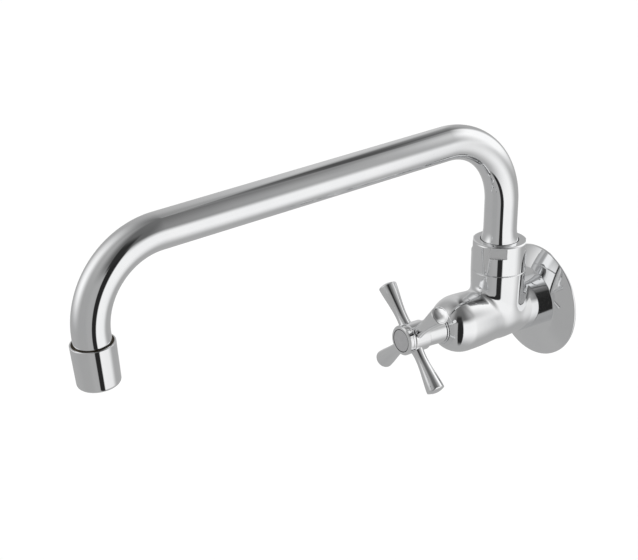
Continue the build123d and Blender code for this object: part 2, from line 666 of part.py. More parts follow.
def aerator_housing():
    """Plated cap screwed on the bush, slightly tapered, with a rounded lower edge."""
    bore = BUSH_R + THREAD_GAP
    top_edge, low_edge = (HOUSING_R, 0), (HOUSING_FOOT_R, HOUSING_LONG)
    return turned(OUTLET, profile(
        (bore, 0), top_edge, low_edge, (HOUSING_MOUTH_R, HOUSING_LONG), (HOUSING_MOUTH_R, HOUSING_SHELF),
        (bore, HOUSING_SHELF),
        rounds=[(top_edge, HOUSING_TOP_R), (low_edge, HOUSING_EDGE_R)]))


def aerator_washer():
    """Rubber washer between the tube's end and the aerator insert."""
    return ring(OUTLET, TUBE_R - TUBE_WALL, INSERT_R, BUSH_LONG, WASHER_FOOT)


def insert_cup_r():
    """Radius of the hollow in the aerator insert."""
    return INSERT_R - INSERT_WALL


def aerator_insert():
    """Plastic insert: a cup whose floor is a grid of small straight holes."""
    spout_r = HOUSING_MOUTH_R - SEAT_GAP
    insert = turned(OUTLET, profile(
        (0, GRID_TOP), (insert_cup_r(), GRID_TOP), (insert_cup_r(), WASHER_FOOT), (INSERT_R, WASHER_FOOT),
        (INSERT_R, HOUSING_SHELF), (spout_r, HOUSING_SHELF), (spout_r, GRID_FOOT), (0, GRID_FOOT)))
    holes = [Pos(x, y) * Circle(GRID_HOLE_R)
             for x, y in hex_grid(insert_cup_r() - GRID_HOLE_R - SEAT_GAP, GRID_PITCH)]
    return insert - prism(OUTLET, Sketch() + holes, GRID_TOP, GRID_FOOT)


def aerator_screen():
    """Perforated steel disc on the floor of the insert's cup."""
    radius = insert_cup_r() - SEAT_GAP
    reach = radius - SCREEN_HOLE
    holes = [Pos(x, y) * Rectangle(SCREEN_HOLE, SCREEN_HOLE) for x, y in hex_grid(reach, SCREEN_PITCH)]
    plate = rod(OUTLET, radius, GRID_TOP - SCREEN_THICK, GRID_TOP)
    return plate - prism(OUTLET, Sketch() + holes, GRID_TOP - SCREEN_THICK, GRID_TOP)


PIECES = [
    body_casting, wall_flange, wall_gasket, inlet_nipple, inlet_washer, seat_seal, fixed_disc, turning_disc,
    headwork_body, headwork_ring, spindle, spindle_rings, retaining_ring, shroud_sleeve, cross_handle,
    index_cap, index_plate, handle_screw, spout_nut, swivel_washer, slip_ring, spout_tube, spout_spigot,
    spigot_rings, outlet_bush, aerator_housing, aerator_washer, aerator_insert, aerator_screen,
]

for piece in PIECES:
    made = piece()
    solids = made if isinstance(made, list) else made.solids()
    shape = solids[0] if len(solids) == 1 else Compound(children=list(solids))
    export_step(shape, f"parts/{piece.__name__}.step")
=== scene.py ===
import bmesh
import bpy
from math import asin, atan2, cos, hypot, pi, radians, sin, sqrt, tan
from mathutils import Matrix, Vector


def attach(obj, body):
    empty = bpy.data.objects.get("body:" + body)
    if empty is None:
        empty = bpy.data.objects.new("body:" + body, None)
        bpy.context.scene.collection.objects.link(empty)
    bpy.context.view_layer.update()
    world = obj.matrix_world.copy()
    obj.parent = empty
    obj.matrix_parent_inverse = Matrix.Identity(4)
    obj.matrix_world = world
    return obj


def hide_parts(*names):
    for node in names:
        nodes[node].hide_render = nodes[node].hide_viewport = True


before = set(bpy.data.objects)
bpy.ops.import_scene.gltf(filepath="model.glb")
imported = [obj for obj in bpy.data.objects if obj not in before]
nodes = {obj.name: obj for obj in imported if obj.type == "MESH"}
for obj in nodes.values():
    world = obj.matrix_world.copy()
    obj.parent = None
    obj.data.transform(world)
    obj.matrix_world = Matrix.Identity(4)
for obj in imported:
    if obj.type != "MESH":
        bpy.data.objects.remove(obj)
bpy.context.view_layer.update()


# Camera. It stands out from the wall, to the right of the spout and a little above it, with a long
# lens, as for a catalogue picture of a tap.
CAMERA_AT = Vector((0.6180, -0.6142, 0.3658))
CAMERA_TURN = radians(54.103)
CAMERA_RISE = radians(22.311)
SENSOR_WIDE = 36
LENS_LONG = 84.52
away = Vector((sin(CAMERA_TURN) * cos(CAMERA_RISE), -cos(CAMERA_TURN) * cos(CAMERA_RISE),
               sin(CAMERA_RISE)))
across = Vector((cos(CAMERA_TURN), sin(CAMERA_TURN), 0))
lens = bpy.data.cameras.new("camera")
lens.sensor_fit = "HORIZONTAL"
lens.sensor_width = SENSOR_WIDE
lens.lens = LENS_LONG
lens.clip_start = 0.01
lens.clip_end = 50
camera = bpy.data.objects.new("camera", lens)
camera.matrix_world = (Matrix.Translation(CAMERA_AT)
                       @ Matrix((across, away.cross(across), away)).transposed().to_4x4())
bpy.context.scene.collection.objects.link(camera)
bpy.context.scene.camera = camera


# Wall gasket. A thick ring of black moulded rubber between the end of the barrel and the wall.
# It slips over the nipple, and is pressed flat when the barrel is screwed up.
GASKET_BORE_R = 10.58
GASKET_R = 19.0
GASKET_THICK = 2.3
GASKET_ROUND = 0.35
RUBBER_BLACK = (0.024, 0.024, 0.025)
RUBBER_BLOOM = (0.045, 0.044, 0.043)
MM = 0.001
TOUCH = 1e-7
ROUND_STEPS = 144
SHARP_CORNER = radians(33)

# A line that round pieces are turned about is its foot and the direction along it
BARREL = (Vector((0, 0, 0)), Vector((0, -1, 0)))


def spun(line, outline, closed=True):
    """An outline of (radius, height) corners in mm, spun a full turn about a line."""
    foot, along = line
    mesh = bmesh.new()
    corners = [mesh.verts.new(foot + Vector((radius * MM, 0, 0)) + along * (height * MM))
               for radius, height in outline]
    ends = corners[1:] + corners[:1] if closed else corners[1:]
    edges = [mesh.edges.new(pair) for pair in zip(corners, ends)]
    bmesh.ops.spin(mesh, geom=corners + edges, cent=foot, axis=along, dvec=(0, 0, 0),
                   angle=2 * pi, steps=ROUND_STEPS, use_merge=True)
    bmesh.ops.remove_doubles(mesh, verts=mesh.verts[:], dist=TOUCH)
    bmesh.ops.recalc_face_normals(mesh, faces=mesh.faces[:])
    return mesh


def ring_edges(mesh, line, radius, height):
    """The edges that run round a line at one radius and height, in mm."""
    foot, along = line

    def miss(vertex):
        up = (vertex.co - foot).dot(along)
        out = (vertex.co - foot - along * up).length
        return hypot(out - radius * MM, up - height * MM)

    return [edge for edge in mesh.edges if max(miss(vertex) for vertex in edge.verts) < 20 * TOUCH]


def round_off(mesh, line, corner, width, steps=4):
    """Round the sharp edge that runs round a line through one corner of the outline."""
    bmesh.ops.bevel(mesh, geom=ring_edges(mesh, line, *corner), offset=width * MM,
                    segments=steps, profile=0.5, affect="EDGES", material=-1)


def finished(name, mesh, finish, body, slot, *replaced):
    """A piece from its mesh, smooth up to its sharp edges, with its finish, body and CAD nodes."""
    data = bpy.data.meshes.new(name)
    mesh.to_mesh(data)
    mesh.free()
    data.shade_smooth()
    data.set_sharp_from_angle(angle=SHARP_CORNER)
    data.materials.append(finish)
    piece = bpy.data.objects.new(name, data)
    bpy.context.scene.collection.objects.link(piece)
    shading = piece.modifiers.new("flat_faces_stay_flat", "WEIGHTED_NORMAL")
    shading.keep_sharp = True
    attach(piece, body)
    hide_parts(*replaced)


def dress(finish, *names):
    """Give CAD nodes whose shape stays a finish."""
    for name in names:
        nodes[name].data.materials.clear()
        nodes[name].data.materials.append(finish)


class Wire:
    """An output socket with arithmetic: each operator adds one Math node."""

    def __init__(self, finish, socket):
        self.finish = finish
        self.socket = socket

    def maths(self, operation, *values):
        return self.finish.add("Math", {"operation": operation}, dict(enumerate(values)))

    def __add__(self, other):
        return self.maths("ADD", self, other)

    def __radd__(self, other):
        return self.maths("ADD", other, self)

    def __sub__(self, other):
        return self.maths("SUBTRACT", self, other)

    def __rsub__(self, other):
        return self.maths("SUBTRACT", other, self)

    def __mul__(self, other):
        return self.maths("MULTIPLY", self, other)

    def __rmul__(self, other):
        return self.maths("MULTIPLY", other, self)

    def __abs__(self):
        return self.maths("ABSOLUTE", self)

    def at_least(self, other):
        return self.maths("MAXIMUM", self, other)


class Finish:
    """The node tree of a new material or world, with one method that adds any node to it."""

    def __init__(self, name, kept_in=bpy.data.materials):
        self.owner = kept_in.new(name)
        self.owner.use_nodes = True
        self.tree = self.owner.node_tree
        self.tree.nodes.clear()

    def add(self, kind, settings=None, sockets=None, out=0):
        node = self.tree.nodes.new("ShaderNode" + kind)
        for name, value in (settings or {}).items():
            if name == "stops":
                ramp = node.color_ramp
                while len(ramp.elements) < len(value):
                    ramp.elements.new(0.5)
                for element, (place, colour) in zip(ramp.elements, value):
                    element.position = place
                    element.color = (*colour, 1)
            else:
                setattr(node, name, value)
        for name, value in (sockets or {}).items():
            if isinstance(value, Wire):
                self.tree.links.new(value.socket, node.inputs[name])
            else:
                node.inputs[name].default_value = value
        return Wire(self, node.outputs[out]) if node.outputs else None

    def place(self):
        return self.add("TexCoord", out="Object")

    def vector(self, operation, *values):
        """Vector maths. A dot product or a length comes out as a number."""
        out = "Value" if operation in ("DOT_PRODUCT", "LENGTH") else "Vector"
        return self.add("VectorMath", {"operation": operation}, dict(enumerate(values)), out)

    def parts(self, vector):
        """The x, y and z of a vector."""
        split = self.add("SeparateXYZ", {}, {0: vector})
        return [Wire(self, socket) for socket in split.socket.node.outputs]

    def noise(self, place, scale, detail, roughness, squeeze=1):
        """Noise. A squeeze makes it that many times finer along the upright, as brushing does."""
        if squeeze != 1:
            place = self.add("Mapping", {}, {"Vector": place, "Scale": (1, 1, squeeze)})
        return self.add("TexNoise", {}, {"Vector": place, "Scale": scale, "Detail": detail,
                                         "Roughness": roughness})

    def colours(self, share, *stops):
        return self.add("ValToRGB", {"stops": stops}, {"Fac": share})

    def rise(self, value, middle, soft):
        """0 below a value, 1 above it, and a smooth change round it."""
        return self.add("MapRange", {"interpolation_type": "SMOOTHSTEP"},
                        {0: value, 1: middle - soft, 2: middle + soft, 3: 0.0, 4: 1.0})

    def relief(self, height, deep):
        return self.add("Bump", {}, {"Strength": 0.5, "Distance": deep, "Height": height})

    def surface(self, sockets):
        shader = self.add("BsdfPrincipled", {}, sockets)
        self.add("OutputMaterial", {}, {"Surface": shader})
        return self.owner


def moulded_rubber(name):
    """Black rubber from a mould: matt, faintly grainy, with a grey bloom here and there."""
    finish = Finish(name)
    place = finish.place()
    bloom = finish.noise(place, scale=160, detail=3, roughness=0.6)
    grain = finish.noise(place, scale=2600, detail=2, roughness=0.6)
    return finish.surface({
        "Base Color": finish.colours(bloom, (0.35, RUBBER_BLACK), (0.75, RUBBER_BLOOM)),
        "Roughness": 0.62 + bloom * 0.16,
        "Normal": finish.relief(grain + bloom * 0.5, 0.03 * MM)})


rubber = moulded_rubber("moulded_rubber")
gasket = spun(BARREL, [(GASKET_BORE_R, 0), (GASKET_R, 0), (GASKET_R, GASKET_THICK),
                       (GASKET_BORE_R, GASKET_THICK)])
round_off(gasket, BARREL, (GASKET_R, GASKET_THICK), GASKET_ROUND)
round_off(gasket, BARREL, (GASKET_R, 0), GASKET_ROUND)
finished("wall_gasket_ring", gasket, rubber, "body", "rubber", "wall_gasket")
dress(rubber, "seat_seal", "headwork_ring", "spindle_rings", "spigot_rings", "aerator_washer")


# Inlet nipple. Turned brass with a rolled half-inch pipe thread, screwed in the fitting behind the
# wall and in the barrel. A key turns it by the six-sided socket in its open end.
NIPPLE_BEHIND = -15.0
NIPPLE_IN_BODY = 14.3
NIPPLE_SHANK_R = 10.3
NIPPLE_SCREW_R = 9.6
NIPPLE_BORE_R = 6.45
NIPPLE_NECK = -0.6
NIPPLE_CHAMFER = 0.5
KEY_FLATS = 13.0
KEY_FLOOR = -7.0
KEY_RING_R = 6.6
THREAD_CREST_R = 10.48
THREAD_CORE_R = 9.32
THREAD_PITCH = 1.814
THREAD_FROM = NIPPLE_BEHIND + 1.6
THREAD_TO = -1.1
THREAD_HALF_CREST = 0.16
THREAD_HALF_FOOT = 0.84
THREAD_SUNK = 0.1
THREAD_STEPS = 60
BRASS_TARNISHED = (0.60, 0.44, 0.20)
BRASS_BRIGHT = (0.78, 0.62, 0.35)


def machined(name, dark, light, line, marks_apart=0.35, dull=0.2):
    """Metal from the lathe: fine rings left by the tool, marks_apart mm wide, and some tarnish."""
    finish = Finish(name)
    place = finish.place()
    foot, along = line
    offset = finish.vector("SUBTRACT", place, foot)
    up = finish.vector("DOT_PRODUCT", offset, along)
    axial = finish.add("VectorMath", {"operation": "SCALE"}, {0: along, "Scale": up})
    out = finish.vector("LENGTH", finish.vector("SUBTRACT", offset, axial))
    ring_place = finish.add("CombineXYZ", {}, {0: up, 1: out})
    rings = finish.noise(ring_place, scale=1 / (marks_apart * MM), detail=2, roughness=0.7)
    tarnish = finish.noise(place, scale=130, detail=4, roughness=0.6)
    return finish.surface({
        "Base Color": finish.colours(tarnish * 0.75 + rings * 0.25, (0.3, dark), (0.7, light)),
        "Metallic": 1.0,
        "Roughness": dull + rings * 0.1 + tarnish * 0.1,
        "Normal": finish.relief(rings, 0.012 * MM)})


brass = machined("turned_brass", BRASS_TARNISHED, BRASS_BRIGHT, BARREL)
nipple = spun(BARREL, [
    (NIPPLE_BORE_R, KEY_FLOOR), (NIPPLE_BORE_R, NIPPLE_IN_BODY), (NIPPLE_SCREW_R, NIPPLE_IN_BODY),
    (NIPPLE_SCREW_R, GASKET_THICK), (NIPPLE_SHANK_R, GASKET_THICK), (NIPPLE_SHANK_R, 0),
    (THREAD_CORE_R, NIPPLE_NECK), (THREAD_CORE_R, NIPPLE_BEHIND + NIPPLE_CHAMFER),
    (THREAD_CORE_R - NIPPLE_CHAMFER, NIPPLE_BEHIND), (KEY_RING_R, NIPPLE_BEHIND),
    (KEY_RING_R, KEY_FLOOR)])

# The socket's round wall is pushed out to six flats
for height in (NIPPLE_BEHIND, KEY_FLOOR):
    wall = ring_edges(nipple, BARREL, KEY_RING_R, height)
    for corner in {vertex for edge in wall for vertex in edge.verts}:
        from_flat = atan2(corner.co.z, corner.co.x) % (pi / 3) - pi / 6
        pushed = KEY_FLATS / 2 / cos(from_flat) / KEY_RING_R
        bmesh.ops.scale(nipple, vec=(pushed, 1, pushed), verts=[corner])

# The thread is one ridge wound round the shank, with its foot just inside the metal
thread_turns = (THREAD_TO - THREAD_FROM) / THREAD_PITCH
ridge_foot_r = THREAD_CORE_R - THREAD_SUNK
section = [(ridge_foot_r, -THREAD_HALF_FOOT), (THREAD_CREST_R, -THREAD_HALF_CREST),
           (THREAD_CREST_R, THREAD_HALF_CREST), (ridge_foot_r, THREAD_HALF_FOOT)]
ridge = bmesh.new()
start = [ridge.verts.new((radius * MM, -(THREAD_FROM + height) * MM, 0))
         for radius, height in section]
loop = [ridge.edges.new(pair) for pair in zip(start, start[1:] + start[:1])]
steps = round(thread_turns * THREAD_STEPS)
last = bmesh.ops.spin(ridge, geom=start + loop, cent=(0, 0, 0), axis=BARREL[1],
                      dvec=BARREL[1] * ((THREAD_TO - THREAD_FROM) * MM / steps),
                      angle=2 * pi * thread_turns, steps=steps)["geom_last"]
ridge.faces.new(start)
ridge.faces.new([part for part in last if isinstance(part, bmesh.types.BMVert)])
bmesh.ops.recalc_face_normals(ridge, faces=ridge.faces[:])
wound = bpy.data.meshes.new("wound")
ridge.to_mesh(wound)
ridge.free()
nipple.from_mesh(wound)
bpy.data.meshes.remove(wound)
finished("inlet_nipple_threaded", nipple, brass, "body", "brass", "inlet_nipple")
dress(brass, "spindle", "spout_spigot")


# Inlet washer. A flat ring punched from red pressed fibre. It lies in the barrel and seals the
# nipple's end.
FIBRE_DAMP = (0.30, 0.06, 0.04)
FIBRE_RED = (0.50, 0.13, 0.09)


def pressed_fibre(name):
    """Red fibre board: short flecks, matt, a little darker where it has been wet."""
    finish = Finish(name)
    place = finish.place()
    flecks = finish.noise(place, scale=1900, detail=3, roughness=0.7)
    damp = finish.noise(place, scale=120, detail=2, roughness=0.5)
    return finish.surface({
        "Base Color": finish.colours(flecks * 0.6 + damp * 0.4,
                                     (0.3, FIBRE_DAMP), (0.7, FIBRE_RED)),
        "Roughness": 0.7 + flecks * 0.15,
        "Normal": finish.relief(flecks, 0.04 * MM)})


dress(pressed_fibre("pressed_fibre"), "inlet_washer")


# Body. One brass casting with barrel, globe end and upright branch, drilled and bored, ground
# smooth, polished on felt wheels and chromium plated. Polishing runs the branch into the barrel.
BARREL_R = 15.8
BARREL_PLAIN = 30.0
GLOBE_R = 17.5
GLOBE_OUT = 63.2
BRANCH_OUT = 33.1
BRANCH_FOOT_R = 15.6
BRANCH_TOP_R = 16.6
BRANCH_TOP = 29.1
BRANCH_TUCK = 0.045
CROTCH_BLEND = 4.9
CHEEK_BLEND = 2.2
SKIN_FACE = 1.2
SKIN_HALVINGS = 6
SKIN_MOVES = 4
SKIN_INSIDE = 0.3
SKIN_OUTSIDE = 3
CHROME_GREY = (0.845, 0.852, 0.862)
CHROME_WHITE = (0.885, 0.888, 0.892)


def plating(name):
    """Bright chrome over polished brass: slow waves, hairlines, and smears that dull it."""
    finish = Finish(name)
    place = finish.place()
    smear = finish.noise(place, scale=38, detail=4, roughness=0.6)
    fine = finish.noise(place, scale=900, detail=2, roughness=0.6)
    wave = finish.noise(place, scale=55, detail=1, roughness=0.4)
    return finish.surface({
        "Base Color": finish.colours(smear, (0.3, CHROME_GREY), (0.7, CHROME_WHITE)),
        "Metallic": 1.0,
        "Roughness": 0.035 + (smear - 0.42).at_least(0) * 0.12 + fine * 0.012,
        "Normal": finish.relief(wave + fine * 0.02, 0.03 * MM)})


def barrel_radius(out):
    """Radius of barrel and globe at a distance from the wall: plain, swelling, then round."""
    rise, run = (GLOBE_R - BARREL_R) / 2, (GLOBE_OUT - BARREL_PLAIN) / 2
    arc = (rise ** 2 + run ** 2) / (2 * rise)
    if out < BARREL_PLAIN:
        return BARREL_R
    if out < BARREL_PLAIN + run:
        return BARREL_R + arc - sqrt(arc ** 2 - (out - BARREL_PLAIN) ** 2)
    if out < GLOBE_OUT:
        return GLOBE_R - arc + sqrt(arc ** 2 - (GLOBE_OUT - out) ** 2)
    return sqrt(max(GLOBE_R ** 2 - (out - GLOBE_OUT) ** 2, 0))


def gaps(point):
    """How far a point lies outside barrel and branch, and how widely they blend there, in mm."""
    x, out, z = point.x / MM, -point.y / MM, point.z / MM
    from_barrel, from_branch = hypot(x, z), hypot(x, out - BRANCH_OUT)
    branch_r = BRANCH_FOOT_R + (BRANCH_TOP_R - BRANCH_FOOT_R) * max(z, 0) / BRANCH_TOP
    barrel_gap = from_barrel - barrel_radius(out)
    branch_gap = from_branch - branch_r + BRANCH_TUCK * min(z, 0) ** 2
    alike = x * x / (from_barrel * from_branch)
    return barrel_gap, branch_gap, CHEEK_BLEND + (CROTCH_BLEND - CHEEK_BLEND) * (1 - alike)


def skin_gap(point):
    """How far a point lies outside the polished skin, where barrel and branch are one."""
    barrel_gap, branch_gap, blend = gaps(point)
    near = max(blend - abs(barrel_gap - branch_gap), 0) / blend
    return (min(barrel_gap, branch_gap) - near * near * blend / 4) * MM


def on_skin(point):
    """Whether a point is on the polished outside of the casting, and not on a bore or the neck."""
    return (-SKIN_INSIDE < min(gaps(point)[:2]) < SKIN_OUTSIDE
            and point.z / MM < BRANCH_TOP + 0.01)


def onto_skin(point):
    """The point of the polished skin next to a point of the rough casting."""
    small = 0.02 * MM
    sides = (Vector((small, 0, 0)), Vector((0, small, 0)), Vector((0, 0, small)))
    for move in range(SKIN_MOVES):
        slope = Vector([(skin_gap(point + side) - skin_gap(point - side)) / (2 * small)
                        for side in sides])
        point = point - slope * (skin_gap(point) / slope.length_squared)
    return point


chrome = plating("chrome_plate")
body = bmesh.new()
body.from_mesh(nodes["body_casting"].data)
bmesh.ops.remove_doubles(body, verts=body.verts[:], dist=TOUCH)
for halving in range(SKIN_HALVINGS):
    long = [edge for edge in body.edges if edge.calc_length() > SKIN_FACE * MM
            and on_skin(edge.verts[0].co) and on_skin(edge.verts[1].co)]
    bmesh.ops.subdivide_edges(body, edges=long, cuts=1)
    bmesh.ops.triangulate(body, faces=[face for face in body.faces if len(face.verts) > 3])
for vertex in body.verts:
    if on_skin(vertex.co):
        vertex.co = onto_skin(vertex.co)
finished("body_casting_polished", body, chrome, "body", "chrome", "body_casting")


# Wall flange. A plate pressed from thin brass sheet and plated, with a flat round the barrel, a
# slightly swollen side and a thin rim. Its collar grips the barrel, and it covers the wall's hole.
FLANGE_BORE_R = 15.8
FLANGE_LAND_R = 22.4
FLANGE_R = 35.2
FLANGE_HIGH = 6.7
FLANGE_EDGE = 1.1
FLANGE_SHEET = 1.5
FLANGE_SWELL = 0.3
FLANGE_COLLAR = 3.5
FLANGE_BACK_STEP = 0.3
FLANGE_SHOULDER = 2.0
FLANGE_HALF_SLOPE = radians(12)
FLANGE_RIM_ROUND = 0.42
FLANGE_FRONT_PARTS = 10
FLANGE_BACK_PARTS = 6


def bowed(start, end, swell, parts):
    """Points of a shallow arc between two corners, without the first."""
    run, climb = end[0] - start[0], end[1] - start[1]
    long = hypot(run, climb)
    points = []
    for part in range(1, parts + 1):
        share = part / parts
        rise = 4 * swell * share * (1 - share)
        points.append((start[0] + run * share - climb / long * rise,
                       start[1] + climb * share + run / long * rise))
    return points


land_edge, rim_edge = (FLANGE_LAND_R, FLANGE_HIGH), (FLANGE_R, FLANGE_EDGE)
back_land = (FLANGE_LAND_R - FLANGE_BACK_STEP, FLANGE_HIGH - FLANGE_SHEET)
flange = spun(BARREL, [
    (FLANGE_BORE_R, FLANGE_HIGH - FLANGE_COLLAR), (FLANGE_BORE_R, FLANGE_HIGH), land_edge,
    *bowed(land_edge, rim_edge, FLANGE_SWELL, FLANGE_FRONT_PARTS),
    (FLANGE_R, 0), (FLANGE_R - FLANGE_SHEET, 0),
    *bowed((FLANGE_R - FLANGE_SHEET, 0), back_land, -FLANGE_SWELL, FLANGE_BACK_PARTS),
    (FLANGE_BORE_R + FLANGE_SHEET, FLANGE_HIGH - FLANGE_SHEET),
    (FLANGE_BORE_R + FLANGE_SHEET, FLANGE_HIGH - FLANGE_COLLAR)])
round_off(flange, BARREL, land_edge, FLANGE_SHOULDER * tan(FLANGE_HALF_SLOPE), steps=6)
round_off(flange, BARREL, rim_edge, FLANGE_RIM_ROUND, steps=6)
finished("wall_flange_pressed", flange, chrome, "body", "chrome", "wall_flange")


# Headwork. A plated brass cartridge with a pair of lapped ceramic discs, screwed in the globe's
# mouth. The fixed disc lies on a rubber ring, and a ring of spring steel keeps the spindle in.
CERAMIC_RUBBED = (0.84, 0.83, 0.80)
CERAMIC_WHITE = (0.92, 0.91, 0.88)
PLATED_DULL = (0.80, 0.81, 0.82)
PLATED_BRIGHT = (0.88, 0.885, 0.89)
STEEL_DARK = (0.54, 0.54, 0.55)
STEEL_BRIGHT = (0.68, 0.68, 0.68)


def lapped_ceramic(name):
    """Dense white ceramic, lapped flat: almost a mirror, with faint grey rubbing."""
    finish = Finish(name)
    rubbed = finish.noise(finish.place(), scale=420, detail=4, roughness=0.7)
    return finish.surface({
        "Base Color": finish.colours(rubbed, (0.35, CERAMIC_RUBBED), (0.7, CERAMIC_WHITE)),
        "Roughness": 0.09 + rubbed * 0.14,
        "Normal": finish.relief(rubbed, 0.004 * MM)})


dress(lapped_ceramic("lapped_ceramic"), "fixed_disc", "turning_disc")
dress(machined("plated_turned_brass", PLATED_DULL, PLATED_BRIGHT, BARREL, dull=0.04),
      "headwork_body")
steel = machined("satin_steel", STEEL_DARK, STEEL_BRIGHT, BARREL, marks_apart=0.18, dull=0.28)
dress(steel, "retaining_ring", "handle_screw")


# Shroud. A plated brass sleeve screwed over the headwork's neck, with a thin ring at its foot that
# lies on the globe's face. It hides the spanner hexagon and the neck behind the handle.
SHROUD_BORE_R = 6.95
SHROUD_FOOT = 77.95
SHROUD_RING_R = 8.9
SHROUD_RING_TOP = 78.95
SHROUD_RING_ROUND = 0.2
SHROUD_BACK_R = 8.2
SHROUD_FRONT_R = 7.8
SHROUD_TOP = 91.8
SHROUD_SEAM = 0.22
SHROUD_SEAM_R = 7.75
SHROUD_ROUND = 0.15
ring_foot, sleeve_foot = SHROUD_FOOT + SHROUD_SEAM, SHROUD_RING_TOP + SHROUD_SEAM
shroud = spun(BARREL, [
    (SHROUD_BORE_R, SHROUD_FOOT), (SHROUD_SEAM_R, SHROUD_FOOT), (SHROUD_SEAM_R, ring_foot),
    (SHROUD_RING_R, ring_foot), (SHROUD_RING_R, SHROUD_RING_TOP), (SHROUD_SEAM_R, SHROUD_RING_TOP),
    (SHROUD_SEAM_R, sleeve_foot), (SHROUD_BACK_R, sleeve_foot), (SHROUD_FRONT_R, SHROUD_TOP),
    (SHROUD_BORE_R, SHROUD_TOP)])
round_off(shroud, BARREL, (SHROUD_RING_R, ring_foot), SHROUD_ROUND)
round_off(shroud, BARREL, (SHROUD_RING_R, SHROUD_RING_TOP), SHROUD_RING_ROUND)
round_off(shroud, BARREL, (SHROUD_FRONT_R, SHROUD_TOP), SHROUD_ROUND)
finished("shroud_sleeve_turned", shroud, chrome, "body", "chrome", "shroud_sleeve")


# Cross handle. A hub with four flared arms, cast in one piece in brass, polished and chromium
# plated. It fits on the spindle's splines, and the screw under the index cap holds it.
dress(chrome, "cross_handle")


# Index cap. A turned and plated cap with a bevelled rim, pressed in the hub over the screw. In its
# recess lies a bare round plate of dull nickelled brass.
CAP_R = 9.0
CAP_LOW = 104.8
CAP_RIM = 106.9
CAP_TOP = 107.7
CAP_BEVEL = 0.8
CAP_ROUND = 0.14
CAP_SKIRT_R = 7.4
CAP_SKIRT_LOW = 101.8
CAP_SKIRT_BORE_R = 6.1
PLATE_R = 7.0
PLATE_TOP = 107.6
PLATE_LOW = 107.0
PLATE_ROUND = 0.12
PLATE_PLAY = 0.05
# Painted shade: a dark band this wide round the plate's edge, in this colour, stands for the shadow
# in its gap to the cap
PLATE_SHADE_BAND = 0.45
NICKEL_GAP_SHADE = (0.06, 0.06, 0.06)
NICKEL_DARK = (0.70, 0.70, 0.71)
NICKEL_BRIGHT = (0.80, 0.80, 0.81)
cap_ceiling, recess_r = PLATE_LOW - CAP_BEVEL, PLATE_R + PLATE_PLAY
cap_corners = [(CAP_R, CAP_LOW), (CAP_R, CAP_RIM), (CAP_R - CAP_BEVEL, CAP_TOP)]
cap = spun(BARREL, [
    (0, cap_ceiling), (CAP_SKIRT_BORE_R, cap_ceiling), (CAP_SKIRT_BORE_R, CAP_SKIRT_LOW),
    (CAP_SKIRT_R, CAP_SKIRT_LOW), (CAP_SKIRT_R, CAP_LOW), *cap_corners, (recess_r, CAP_TOP),
    (recess_r, PLATE_LOW), (0, PLATE_LOW)], closed=False)
for corner in cap_corners:
    round_off(cap, BARREL, corner, CAP_ROUND)
finished("index_cap_turned", cap, chrome, "handle", "chrome", "index_cap")
plate = spun(BARREL, [(0, PLATE_LOW), (PLATE_R, PLATE_LOW), (PLATE_R, PLATE_TOP), (0, PLATE_TOP)],
             closed=False)
round_off(plate, BARREL, (PLATE_R, PLATE_TOP), PLATE_ROUND)


def dull_nickel(name):
    """Satin nickel, brushed one way, with a ring of painted shade round its edge for the gap to the
    cap.
    """
    finish = Finish(name)
    place = finish.place()
    from_axis = finish.vector("LENGTH", finish.vector("MULTIPLY", place, (1, 0, 1)))
    # Painted shade: the plate's outer rim is darkened as the shadow of the gap between plate and
    # cap
    gap_shade = finish.rise(from_axis, (PLATE_R - PLATE_SHADE_BAND) * MM, 0.1 * MM)
    brushed = finish.noise(place, scale=190, detail=3, roughness=0.7, squeeze=30)
    patchy = finish.noise(place, scale=260, detail=2, roughness=0.5)
    return finish.surface({
        "Base Color": finish.colours(
            brushed * 0.5 + patchy * 0.5 - gap_shade * 0.6,
            (0.05, NICKEL_GAP_SHADE), (0.3, NICKEL_DARK), (0.7, NICKEL_BRIGHT)),
        "Metallic": 1.0,
        "Roughness": 0.36 + brushed * 0.12,
        "Normal": finish.relief(brushed, 0.006 * MM)})


nickel = dull_nickel("dull_nickel")
finished("index_plate_bare", plate, nickel, "handle", "chrome", "index_plate")


# Spout nut. A turned and plated brass nut that holds the spout's foot on the body's neck. Four
# flats for the spanner are milled near its top after polishing, so they have a satin face.
SWIVEL = (Vector((0, -0.0331, 0)), Vector((0, 0, 1)))
NUT_R = 16.56
NUT_TOP = 47.5
NUT_BEVEL = 0.6
FLAT_WIDE = 10.4
FLAT_LOW = 40.1
FLAT_TURN = 46


def nut_plating(name):
    """Bright plate, but satin on the four milled flats."""
    finish = Finish(name)
    place = finish.place()
    offset = finish.vector("SUBTRACT", place, SWIVEL[0])
    flat_out = sqrt(NUT_R ** 2 - (FLAT_WIDE / 2) ** 2) * MM
    milled = 0
    for quarter in (0, 90):
        turn = radians(FLAT_TURN + quarter)
        reach = finish.vector("DOT_PRODUCT", offset, Vector((sin(turn), -cos(turn), 0)))
        from_flat = abs(abs(reach) - flat_out)
        milled = (1 - finish.rise(from_flat, 0.06 * MM, 0.02 * MM)).at_least(milled)
    height = finish.parts(place)[2]
    milled = milled * finish.rise(height, (FLAT_LOW + 0.05) * MM, 0.03 * MM)
    milled = milled * (1 - finish.rise(height, (NUT_TOP - NUT_BEVEL) * MM, 0.3 * MM))
    smear = finish.noise(place, scale=38, detail=4, roughness=0.6)
    cut = finish.noise(place, scale=320, detail=2, roughness=0.7, squeeze=18)
    return finish.surface({
        "Base Color": finish.colours(smear, (0.3, CHROME_GREY), (0.7, CHROME_WHITE)),
        "Metallic": 1.0,
        "Roughness": 0.035 + (smear - 0.42).at_least(0) * 0.12 + milled * (0.42 + cut * 0.2),
        "Normal": finish.relief(smear + cut * milled * 0.5, 0.02 * MM)})


